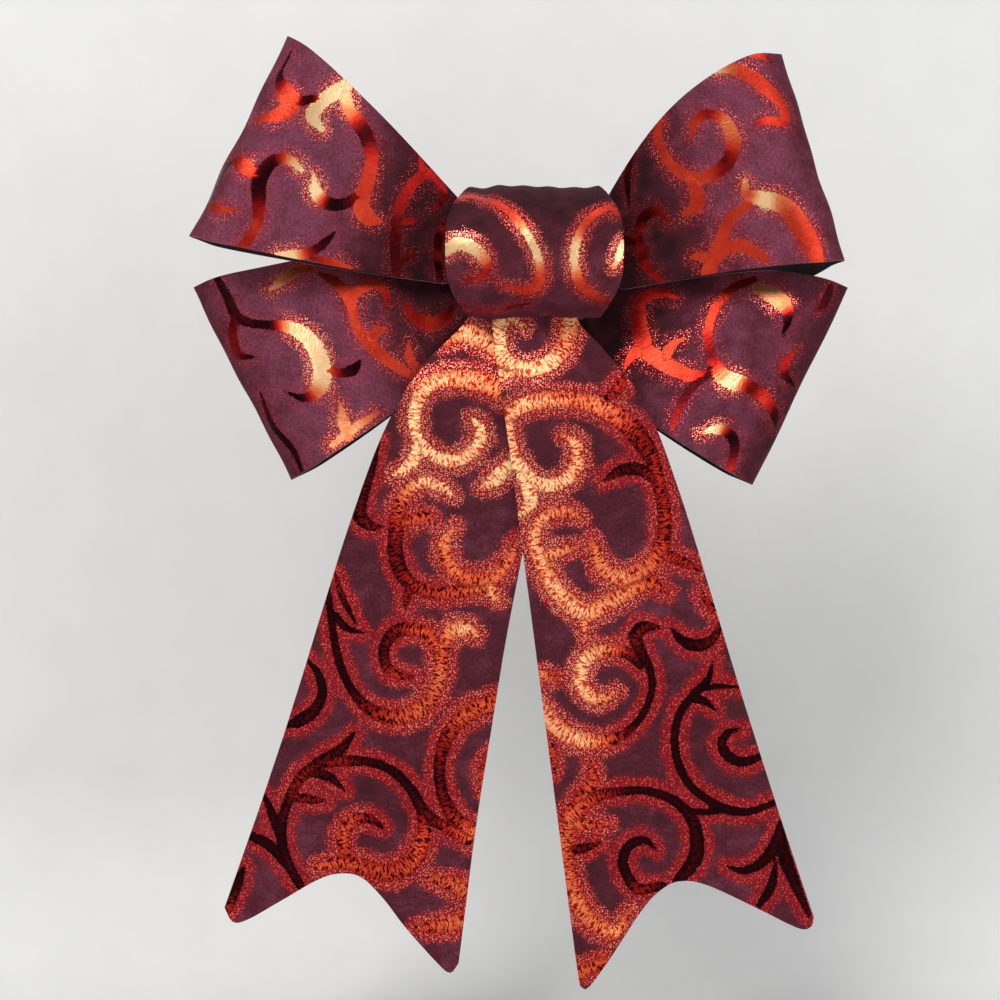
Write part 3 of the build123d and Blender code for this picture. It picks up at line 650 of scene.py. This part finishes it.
def add_thing(name, data):
    """Put a mesh, lamp or camera into the scene."""
    thing = bpy.data.objects.new(name, data)
    bpy.context.scene.collection.objects.link(thing)
    return thing


def normals(grid):
    """Unit normals of a grid of points."""
    du = np.gradient(grid, axis=0)
    dv = np.gradient(grid, axis=1)
    n = np.cross(du, dv)
    return n / np.maximum(np.linalg.norm(n, axis=2, keepdims=True), 1e-9)


def ribbon(name, outer, facing, flat, field, lie, velvet):
    """Ribbon mesh from a grid of its velvet face, in mm; facing, 1 or -1, turns its normals outwards."""
    rows, columns = outer.shape[:2]
    n = normals(outer) * facing
    points = np.vstack([outer.reshape(-1, 3), (outer - n * THICKNESS).reshape(-1, 3)]) * MM
    index = np.arange(rows * columns).reshape(rows, columns)
    back = index + rows * columns
    a, b, c, d = index[:-1, :-1], index[1:, :-1], index[1:, 1:], index[:-1, 1:]
    front_quads = np.stack([a, b, c, d], -1).reshape(-1, 4)
    back_quads = (np.stack([a, d, c, b], -1) + rows * columns).reshape(-1, 4)
    if facing < 0:
        front_quads = front_quads[:, ::-1]
        back_quads = back_quads[:, ::-1]
    border = np.r_[index[:-1, 0], index[-1, :-1], index[:0:-1, -1], index[0, :0:-1]]
    after = np.roll(border, -1)
    rim = np.stack([border, after, after + rows * columns, border + rows * columns], -1)
    if facing > 0:
        rim = rim[:, ::-1]
    faces = np.vstack([front_quads, back_quads, rim])
    mesh = bpy.data.meshes.new(name)
    mesh.from_pydata(points.tolist(), [], faces.tolist())
    for material in (velvet, BACKING, CUT_EDGE):
        mesh.materials.append(material)
    slots = np.r_[np.zeros(len(front_quads)), np.ones(len(back_quads)), np.full(len(rim), 2)]
    mesh.polygons.foreach_set("material_index", slots.astype(np.int32))
    smooth = np.r_[np.ones(len(front_quads) + len(back_quads)), np.zeros(len(rim))]
    mesh.polygons.foreach_set("use_smooth", smooth.astype(bool))
    inside, tone, along = field
    flat3 = np.c_[flat.reshape(-1, 2), np.zeros(rows * columns)]
    for key, kind, values in (
        ("inside", "FLOAT", inside),
        ("tone", "FLOAT", tone),
        ("along", "FLOAT_VECTOR", along),
        ("lie", "FLOAT", lie.ravel()),
        ("flat", "FLOAT_VECTOR", flat3),
    ):
        layer = mesh.attributes.new(key, kind, "POINT")
        both = np.concatenate([values, values]).astype(np.float32)
        layer.data.foreach_set("value" if kind == "FLOAT" else "vector", both.ravel())
    mesh.update()
    sharp = mesh.attributes.get("sharp_edge") or mesh.attributes.new("sharp_edge", "BOOLEAN", "EDGE")
    edges = np.zeros(len(mesh.edges) * 2, np.int32)
    mesh.edges.foreach_get("vertices", edges)
    edges = edges.reshape(-1, 2)
    on_border = np.zeros(2 * rows * columns, bool)
    on_border[border] = True
    on_border[border + rows * columns] = True
    same_face = (edges[:, 0] < rows * columns) == (edges[:, 1] < rows * columns)
    sharp.data.foreach_set("value", (on_border[edges].all(1) & same_face))
    thing = add_thing(name, mesh)
    return thing


def nearest_in(table_xz, table_flat):
    """A function from points seen from the front to their places on the flat ribbon."""

    def locate(points):
        out = []
        for p in points:
            gap = ((table_xz - p) ** 2).sum(1)
            near = np.argpartition(gap, 4)[:4]
            weight = 1 / (gap[near] + 1e-3)
            out.append((table_flat[near] * weight[:, None]).sum(0) / weight.sum())
        return np.array(out)

    return locate


# ---- Loops ----
LEAD, PANEL, TURN = 16, 92, 18  # rows of points in the waist, in a panel and in half the fold
LEAD_LENGTH = 30  # flat length of the ribbon in the knot


def loop_edge(line, waist, waist_z, shape, bow, skew=1.0, corner=1.0, droop=0.0):
    """One cut edge of a loop: (points, flat arc lengths), from the knot round the fold and back.

    The edge bows away from its straight line by bow, soonest near the knot where skew is below 1. At the
    fold its corner is rounded, and on its way back it droops.
    """
    start, end = np.array(line[0], float), np.array(line[1], float)
    length = np.linalg.norm(end - start)
    along = (end - start) / length
    across = np.array([-along[1], along[0]]) * (1 if along[0] > 0 else -1)
    side = 1 if end[0] > 0 else -1
    back, front = waist
    middle, half, fold = shape["fold"]
    turn = length - fold
    eased = turn - FOLD_EASE * length
    lead = (shape["reach"][0] * length, front + shape["swell"][0])
    hold = (shape["reach"][1] * length, back + shape["swell"][1])
    parts = [
        spaced(bezier([(0, front), lead, (eased, middle + half), (turn, middle + half)], 200), PANEL),
        spaced(quarter((turn, middle), (0, half), (fold, 0), 60), TURN)[1:],
        spaced(quarter((turn, middle), (fold, 0), (0, -half), 60), TURN)[1:],
        spaced(bezier([(turn, middle - half), (eased, middle - half), hold, (0, back)], 200), PANEL)[1:],
    ]
    profile = np.vstack(parts)
    bowed = bow * np.sin(math.pi * np.clip(profile[:, 0] / length, 0, 1) ** skew)
    bowed -= corner * np.exp(-(((profile[:, 0] - length) / 6) ** 2))
    returning = np.clip((middle - profile[:, 1]) / half, 0, 1)
    sunk = droop * returning * np.exp(-(((profile[:, 0] / length - 0.84) / 0.10) ** 2))
    xz = start + profile[:, :1] * along + bowed[:, None] * across - sunk[:, None] * (0, 1)
    hairpin = np.c_[xz[:, 0], -profile[:, 1], xz[:, 1]]
    arc = np.r_[0, np.cumsum(np.linalg.norm(np.diff(hairpin, axis=0), axis=1))]
    gathered = []
    for depth in (front, back):
        x = side * np.linspace(1.0, min(WAIST_HALF, abs(start[0]) - 2.0), 30)
        run = np.c_[x, np.full(30, -depth), np.full(30, waist_z)]
        ease = np.linspace(0, 1, 12)[1:, None]
        knee = run[-1] + (np.array([start[0], -depth, start[1]]) - run[-1]) * ease
        gathered.append(spaced(np.vstack([run, knee]), LEAD)[:-1])
    lead_arc = np.linspace(-LEAD_LENGTH, 0, LEAD)[:-1]
    points = np.vstack([gathered[0], hairpin, gathered[1][::-1]])
    arcs = np.r_[lead_arc, arc, arc[-1] - lead_arc[::-1]]
    return points, arcs, start, along


# Each loop's painted light level sets how lit its velvet is painted: brightest on the upper left, darkest on
# the lower right.
LOOPS = {
    "upper_left": dict(
        top=((-26.0, 19.0), (-84.8, 75.4)),
        top_bend=dict(bow=1.5),
        bottom=((-31.5, -10.5), (-119.5, 4.2)),
        bottom_bend=dict(bow=-1.0, corner=-1.0),
        pile_light=0.92,
    ),
    "upper_right": dict(
        top=((26.0, 20.0), (83.7, 70.9)),
        top_bend=dict(bow=8.0, corner=3.5),
        bottom=((31.5, -12.5), (108.0, -4.2)),
        bottom_bend=dict(bow=1.5, corner=-1.0, droop=3.5),
        pile_light=0.86,
    ),
    "lower_left": dict(
        top=((-31.0, 6.0), (-120.2, -10.8)),
        top_bend=dict(bow=2.0),
        bottom=((-20.0, -21.5), (-84.1, -79.9)),
        bottom_bend=dict(bow=-6.5, skew=0.62, corner=-1.0),
        pile_light=0.80,
    ),
    "lower_right": dict(
        top=((31.0, 0.0), (110.9, -10.8)),
        top_bend=dict(bow=2.0),
        bottom=((16.0, -24.0), (75.8, -81.7)),
        bottom_bend=dict(bow=-9.5, skew=0.62, corner=-1.0),
        pile_light=0.66,
    ),
}
LOOP_COLUMNS = 92

for number, (name, spec) in enumerate(LOOPS.items()):
    level, hand = name.split("_")
    upper = level == "upper"
    side = 1 if hand == "right" else -1
    waist, span = (UPPER_WAIST, UPPER_SPAN) if upper else (LOWER_WAIST, LOWER_SPAN)
    shapes = (UPPER_TOP, UPPER_BOTTOM) if upper else (LOWER_TOP, LOWER_BOTTOM)
    top = loop_edge(spec["top"], waist, span[1], shapes[0], **spec["top_bend"])
    bottom = loop_edge(spec["bottom"], waist, span[0], shapes[1], **spec["bottom_bend"])
    v = np.linspace(0, 1, LOOP_COLUMNS)[None, :, None]
    grid = (1 - v) * top[0][:, None] + v * bottom[0][:, None]
    rows = len(grid)
    v = v[..., 0]
    arcs = (1 - v) * top[1][:, None] + v * bottom[1][:, None]
    half_way = LEAD - 1 + PANEL + TURN - 1 + 8
    front_flat = [edge[2] + edge[1][:, None] * edge[3] for edge in (top, bottom)]
    back_flat = [edge[2] + (edge[1][-1] - LEAD_LENGTH - edge[1])[:, None] * edge[3] for edge in (top, bottom)]
    flat = np.where(
        (np.arange(rows) < half_way)[:, None, None],
        (1 - v[..., None]) * front_flat[0][:, None] + v[..., None] * front_flat[1][:, None],
        (1 - v[..., None]) * back_flat[0][:, None] + v[..., None] * back_flat[1][:, None],
    )
    from_knot = np.minimum(arcs, (arcs[-1][None, :] - LEAD_LENGTH) - arcs)
    open_part = np.clip(from_knot / 60, 0, 1)
    facing = -1 if side > 0 else 1
    n = normals(grid) * facing
    pleats = np.exp(-np.clip(from_knot, 0, None) / 15) * np.sin(2 * math.pi * (3.5 * v + 0.13 * number))
    offset = 0.75 * pleats
    offset += 1.1 * np.sin(math.pi * v) * np.sin(math.pi * np.clip(from_knot / 70, 0, 1))
    offset += 0.45 * ripple(flat[..., 0], flat[..., 1], 11 + number, 34) * open_part
    outer = grid + n * offset[..., None]
    front_part = np.arange(rows) < LEAD + PANEL + TURN - 1
    xz = outer[..., [0, 2]]
    to_front = nearest_in(xz[front_part].reshape(-1, 2), flat[front_part].reshape(-1, 2))
    to_back = nearest_in(xz[~front_part].reshape(-1, 2), flat[~front_part].reshape(-1, 2))
    in_front = (np.arange(rows) < half_way)[:, None].repeat(LOOP_COLUMNS, 1).ravel()
    places = flat.reshape(-1, 2)
    front_field = scroll_field(SCROLLS[name], places[in_front], to_front)
    back_print = mirrored(SCROLLS[level + ("_left" if side > 0 else "_right")])
    back_field = scroll_field(back_print, places[~in_front], to_back)
    field = [np.concatenate([a, b]) for a, b in zip(front_field, back_field)]
    # Painted light and shade on a loop: painted shade in the knot's gather, rising out along the loop to its
    # painted light level, and painted shade at the fold where the ribbon turns away.
    settled = np.clip((from_knot - 14) / 40, 0, 1)
    turning = np.exp(-(((arcs - arcs[-1][None, :] / 2 + LEAD_LENGTH / 2) / 13) ** 2))
    lie = 0.06 + spec["pile_light"] * settled * settled * (3 - 2 * settled) - 0.34 * turning
    thing = ribbon(name + "_ribbon", outer, facing, flat, field, lie, LOOP_VELVET)
    depth = -sum(waist) / 2 * MM
    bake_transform(thing)
    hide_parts(name + "_loop", level + "_ribbon_waist")
    widest = np.linalg.norm(outer[LEAD + PANEL, 0] - outer[LEAD + PANEL, -1]) * MM
    reach = float(arcs[-1].mean() + LEAD_LENGTH) * MM

# ---- Tails ----


def tail_depth(z, depth):
    """Depth of a tail's back face at each height."""
    top_z = TAIL_PIVOT_Z - 15.0
    crest, tip = depth + TAIL_FORWARD, depth + TAIL_FORWARD - TAIL_SETTLE
    rise = bezier([(depth, top_z), (depth, 0.7 * CREST_Z), (crest, 0.9 * CREST_Z), (crest, CREST_Z)], 120)
    fall = bezier([(crest, CREST_Z), (crest, 1.6 * CREST_Z), (tip, 0.6 * TIP_Z), (tip, TIP_Z)], 200)
    line = np.vstack([[(depth, 20.0)], rise, fall[1:]])[::-1]
    return np.interp(z, line[:, 1], line[:, 0])


TAILS = {
    "right_tail": dict(
        inner=[(-13, 8), (-15.5, -16), (-7.6, -76), (0, -134), (8.6, -200), (15.3, -251), (16.6, -255.6)],
        outer=[
            (12, 8), (13.2, -16), (16, -25), (24.5, -34.5), (38.6, -53.9), (50.4, -84.1), (62.6, -122.7),
            (78.2, -172.7), (97.3, -231.5),
        ],
        notch=[
            (16.6, -255.6), (19, -256.4), (24.5, -249.5), (38.2, -229), (45.5, -221.6), (52, -219.3),
            (60.8, -220.9), (78.2, -228.9), (92, -235.4), (96.5, -235), (97.3, -231.5),
        ],
    ),
    "left_tail": dict(
        inner=[
            (11, 8), (12, -16), (1.5, -76), (-8.8, -130), (-12.2, -150), (-15.4, -170), (-20.2, -200),
            (-25.6, -243), (-26.4, -248.5),
        ],
        outer=[
            (-13, 8), (-18.5, -14), (-24.3, -24.8), (-39.6, -41), (-52.1, -62.9), (-63.2, -92.4),
            (-73, -122.7), (-86.5, -165.8), (-107.9, -228.6),
        ],
        notch=[
            (-26.4, -248.5), (-29.3, -251.6), (-34, -248), (-45, -235.8), (-53, -225.5), (-60.5, -218.3),
            (-68, -217), (-76, -219.3), (-88, -226.2), (-100, -232.9), (-105.2, -233.6), (-107.9, -228.6),
        ],
    ),
}
TAIL_ROWS, TAIL_COLUMNS = 300, 104

for name, spec in TAILS.items():
    inner = spaced(smooth_line(spec["inner"]), TAIL_ROWS)
    outer_edge = spaced(smooth_line(spec["outer"]), TAIL_ROWS)
    bottom_edge = spaced(smooth_line(spec["notch"]), TAIL_COLUMNS)
    top_edge = spaced([inner[0], outer_edge[0]], TAIL_COLUMNS)
    t = np.linspace(0, 1, TAIL_ROWS)[:, None, None]
    v = np.linspace(0, 1, TAIL_COLUMNS)[None, :, None]
    sides = (1 - v) * inner[:, None] + v * outer_edge[:, None]
    ends = (1 - t) * top_edge[None] + t * bottom_edge[None]
    top_line = (1 - v) * inner[0] + v * outer_edge[0]
    bottom_line = (1 - v) * inner[-1] + v * outer_edge[-1]
    flat = sides + ends - ((1 - t) * top_line + t * bottom_line)
    x, z = flat[..., 0], flat[..., 1]
    body = name.split("_")[0]
    front = tail_depth(z, TAIL_DEPTH[body]) + THICKNESS + 0.15
    free = np.clip((-z - 45) / 160, 0, 1)
    front += free * (1.1 * ripple(x, z, 5, 95) + 0.5 * ripple(x, z, 6, 34))
    curl = np.clip((v[..., 0] - 0.62) / 0.38, 0, 1) ** 2 * np.clip((t[..., 0] - 0.8) / 0.2, 0, 1) ** 2
    front += 2.2 * curl
    gathers = np.exp(-np.clip(-z - 22, 0, None) / 9) * np.clip((-z - 8) / 10, 0, 1)
    front += 0.18 * gathers * np.sin(2 * math.pi * 3 * v[..., 0])
    grid = np.stack([x, -front, z], -1)
    facing = -1 if normals(grid)[..., 1].mean() > 0 else 1
    field = scroll_field(SCROLLS[name], flat.reshape(-1, 2), lambda points: points)
    # The tails get an even, middle painted light level, varied at random.
    lie = 0.50 + 0.10 * ripple(x, z, 8, 80)
    thing = ribbon(name + "_ribbon", grid, facing, flat, field, lie, TAIL_VELVET)
    depth = -TAIL_DEPTH[body] * MM
    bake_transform(thing)
    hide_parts(name, name + "_head")
    widest = float(np.ptp(x[-60:]).max()) * MM
    reach = float(np.linalg.norm(np.diff(grid[:, TAIL_COLUMNS // 2], axis=0), axis=1).sum()) * MM

# ---- Knot band and pad ----


def knot_section():
    """The D of the knot as (depth, z), from the slit's back lip round the back and top to its front lip."""
    low_front = quarter((KNOT_CENTRE, 0), (KNOT_DOME, 0), (0, -KNOT_HIGH), 300)
    high_front = quarter((KNOT_CENTRE, 0), (0, KNOT_HIGH), (KNOT_DOME, 0), 300)
    corner = KNOT_HIGH - KNOT_BACK_HIGH
    low_back = quarter((KNOT_CENTRE, -KNOT_BACK_HIGH), (0, -corner), (-KNOT_CENTRE, 0), 80)
    high_back = quarter((KNOT_CENTRE, KNOT_BACK_HIGH), (-KNOT_CENTRE, 0), (0, corner), 80)
    fuller = (1 - ((low_front[:, 0] - KNOT_CENTRE) / KNOT_DOME) ** 2.7) ** (1 / 2.7)
    back_lip = low_front[low_front[:, 0] < MOUTH[0]] * (1, 0.975)
    front_lip = np.c_[low_front[:, 0], -KNOT_HIGH * np.clip(fuller, 0, 1)][low_front[:, 0] > MOUTH[1]]
    return np.vstack([back_lip, low_back * (1, 0.975), high_back, high_front, front_lip])


def barrel(z):
    """Half width of the knot at each height."""
    return KNOT_HALF_WIDTH - 8.0 * (np.abs(z) / KNOT_HIGH) ** 3


KNOT_ROWS, KNOT_COLUMNS = 250, 110
section = spaced(knot_section(), KNOT_ROWS)
arc = np.r_[0, np.cumsum(np.linalg.norm(np.diff(section, axis=0), axis=1))]
pole = int(np.argmax(section[:, 0]))
across = np.linspace(-1, 1, KNOT_COLUMNS)[None, :]
depth, z = section[:, :1], section[:, 1:]
drawn_in = 6.0 * np.clip((-z - 13) / 6, 0, 1) * (depth < MOUTH[0] + 0.2)
half_width = barrel(z) - drawn_in
frontness = np.clip((depth - KNOT_CENTRE) / KNOT_DOME, 0, 1)
x = across * half_width
sag = np.abs(across) ** 3.2
deep = depth - 4.2 * sag * frontness**0.7 - 0.5 * (1 - frontness)
high = z * (1 - 0.045 * sag * np.clip(np.abs(z) / KNOT_HIGH, 0, 1) * frontness)
pinch = np.clip((np.abs(z) - 12) / 11, 0, 1) * np.clip(depth / 12, 0, 1)
creases = 1.2 * ripple(x + 0 * z, 0.35 * z + 0 * x, 31, 11)
deep = deep + 0.55 * pinch * creases * frontness + 0.35 * ripple(x + 0 * z, z + 0 * x, 21, 26) * frontness
high = high - 0.42 * pinch * creases * np.sign(z)
grid = np.stack([x + 0 * deep, -np.maximum(deep, 0.0), high + 0 * deep], -1)
grid[..., 1] = np.where(depth < 0.6, np.minimum(grid[..., 1], -0.05), grid[..., 1])
facing = -1 if normals(grid)[pole, :, 1].mean() > 0 else 1
flat = np.stack([x + 0 * deep, (arc[pole] - arc)[:, None] + 0 * x], -1)
front_rows = np.abs(np.arange(KNOT_ROWS) - pole) < 62
locate = nearest_in(grid[front_rows][..., [0, 2]].reshape(-1, 2), flat[front_rows].reshape(-1, 2))
back_print = [([(-x, 74 - z) for x, z in points], widths, tones) for points, widths, tones in SCROLLS["knot"]]
front_field = scroll_field(SCROLLS["knot"], flat.reshape(-1, 2), locate)
back_field = scroll_field(back_print, flat.reshape(-1, 2), lambda points: points)
on_back = back_field[0] > front_field[0]
field = [
    np.where(on_back if a.ndim == 1 else on_back[:, None], b, a) for a, b in zip(front_field, back_field)
]
# Painted shade on the knot band: darkest at the top, where the band turns back, lighter towards the bottom.
lie = 0.04 + 0.50 * np.clip((17 - z) / 22, 0, 1) + 0 * x
band = ribbon("knot_band_ribbon", grid, facing, flat, field, lie, KNOT_VELVET)
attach(band, "knot")
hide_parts("knot_band")


def wadding_pad():
    """Loose wadding under the band's front: a D with rounded, uneven ends."""
    rows, columns = 72, 64
    pad_back = 22.5
    outline = knot_section()
    outline = outline[outline[:, 0] > pad_back]
    inset = (outline - [KNOT_CENTRE, 0]) * 0.94 + [KNOT_CENTRE, 0]
    back_line = bezier([inset[-1], (pad_back - 0.2, -12), (pad_back - 0.2, 12), inset[0]], 60)
    closed = np.vstack([inset, back_line[1:-1]])
    ring = spaced(np.vstack([closed, closed[:1]]), rows + 1)[:-1]
    centre = np.array([28.0, 0.0])
    verts = []
    for k in range(columns):
        s = -1 + 2 * k / (columns - 1)
        shrink = max((1 - abs(s) ** 2.6) ** 0.42, 0.03)
        lump = 1 + 0.018 * np.sin(7 * s + 5 * np.arange(rows) / rows * 6.28)
        loop = centre + (ring - centre) * shrink * lump[:, None]
        loop[:, 0] = np.clip(loop[:, 0], pad_back - 0.2, None)
        verts.append(np.c_[np.full(rows, 20.5 * s), -loop[:, 0], loop[:, 1]])
    verts = np.vstack(verts) * MM
    faces = []
    for k in range(columns - 1):
        for j in range(rows):
            a, b = k * rows + j, k * rows + (j + 1) % rows
            faces.append((a, b, b + rows, a + rows))
    faces.append(tuple(range(rows - 1, -1, -1)))
    faces.append(tuple(range((columns - 1) * rows, columns * rows)))
    mesh = bpy.data.meshes.new("wadding_pad")
    mesh.from_pydata(verts.tolist(), [], faces)
    mesh.materials.append(WADDING)
    mesh.polygons.foreach_set("use_smooth", np.ones(len(mesh.polygons), bool))
    mesh.update()
    return add_thing("wadding_pad", mesh)


pad = wadding_pad()
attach(pad, "knot")
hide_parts("knot_pad")

# ---- Materials of the hardware that keeps its own shape ----
NOT_STEEL = dict(tie_saddle=TIE_PLASTIC, tie_left_leg=TIE_PLASTIC, tie_right_leg=TIE_PLASTIC, back_glue=GLUE)
for name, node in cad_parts.items():
    if not node.hide_render:
        node.data.materials.clear()
        node.data.materials.append(NOT_STEEL.get(name, STEEL))

# ---- Stage, light and camera ----


def stage_material():
    m = Nodes("studio_paper")
    place = m.add("ShaderNodeTexCoord").outputs["Object"]
    colour = m.mix(m.noise(place, 40.0, 3.0), srgb(214, 214, 213), srgb(222, 222, 220))
    m.set(Base_Color=colour, Roughness=0.9)
    return m.material


PAPER_REACH = 3.0
COVE = 0.08  # radius of the curve between floor and wall
low_corner, high_corner = cad_bounds
floor_z = low_corner[2] - 0.02
wall_y = high_corner[1] + 0.10
profile = [(-PAPER_REACH, floor_z)]
for angle in np.linspace(0, math.pi / 2, 24):
    profile.append((wall_y + COVE * (math.sin(angle) - 1), floor_z + COVE * (1 - math.cos(angle))))
profile.append((wall_y, PAPER_REACH))
sweep_points = [(x, y, z) for y, z in profile for x in (-PAPER_REACH, PAPER_REACH)]
sweep_faces = [(2 * k, 2 * k + 1, 2 * k + 3, 2 * k + 2) for k in range(len(profile) - 1)]
paper = bpy.data.meshes.new("studio_paper")
paper.from_pydata(sweep_points, [], sweep_faces)
paper.materials.append(stage_material())
paper.polygons.foreach_set("use_smooth", np.ones(len(paper.polygons), bool))
add_thing("studio_paper", paper)


def area_light(name, place, aim, size, watts, colour):
    data = bpy.data.lights.new(name, "AREA")
    data.shape = "RECTANGLE"
    data.size, data.size_y = size
    data.energy = watts
    data.color = colour
    thing = add_thing(name, data)
    thing.location = place
    thing.rotation_euler = (Vector(aim) - Vector(place)).to_track_quat("-Z", "Y").to_euler()


area_light("key", (-0.55, -1.0, 0.9), (0, 0, -0.08), (0.7, 0.7), 15.0, (1.0, 0.98, 0.96))
area_light("fill", (0.9, -0.9, 0.1), (0, 0, -0.08), (0.8, 1.0), 5.0, (0.96, 0.98, 1.0))
area_light("top", (0.1, -0.2, 1.2), (0, 0, -0.1), (0.9, 0.5), 3.0, (1.0, 1.0, 1.0))

world = bpy.data.worlds.new("studio")
bpy.context.scene.world = world
world.use_nodes = True
world.node_tree.nodes["Background"].inputs["Color"].default_value = (0.9, 0.92, 0.95, 1)
world.node_tree.nodes["Background"].inputs["Strength"].default_value = 0.45

SENSOR = 36.0
DISTANCE = 0.95
FRAME_WIDTH = 0.3475  # of the scene at the bow's middle depth
camera_data = bpy.data.cameras.new("camera")
camera = add_thing("camera", camera_data)
camera_data.sensor_width = SENSOR
camera_data.lens = SENSOR * DISTANCE / FRAME_WIDTH
camera.location = (-0.0118, -DISTANCE - 0.02, -0.0862)
camera.rotation_euler = (math.pi / 2, 0, 0)
bpy.context.scene.camera = camera
bpy.context.scene.view_settings.view_transform = "Standard"
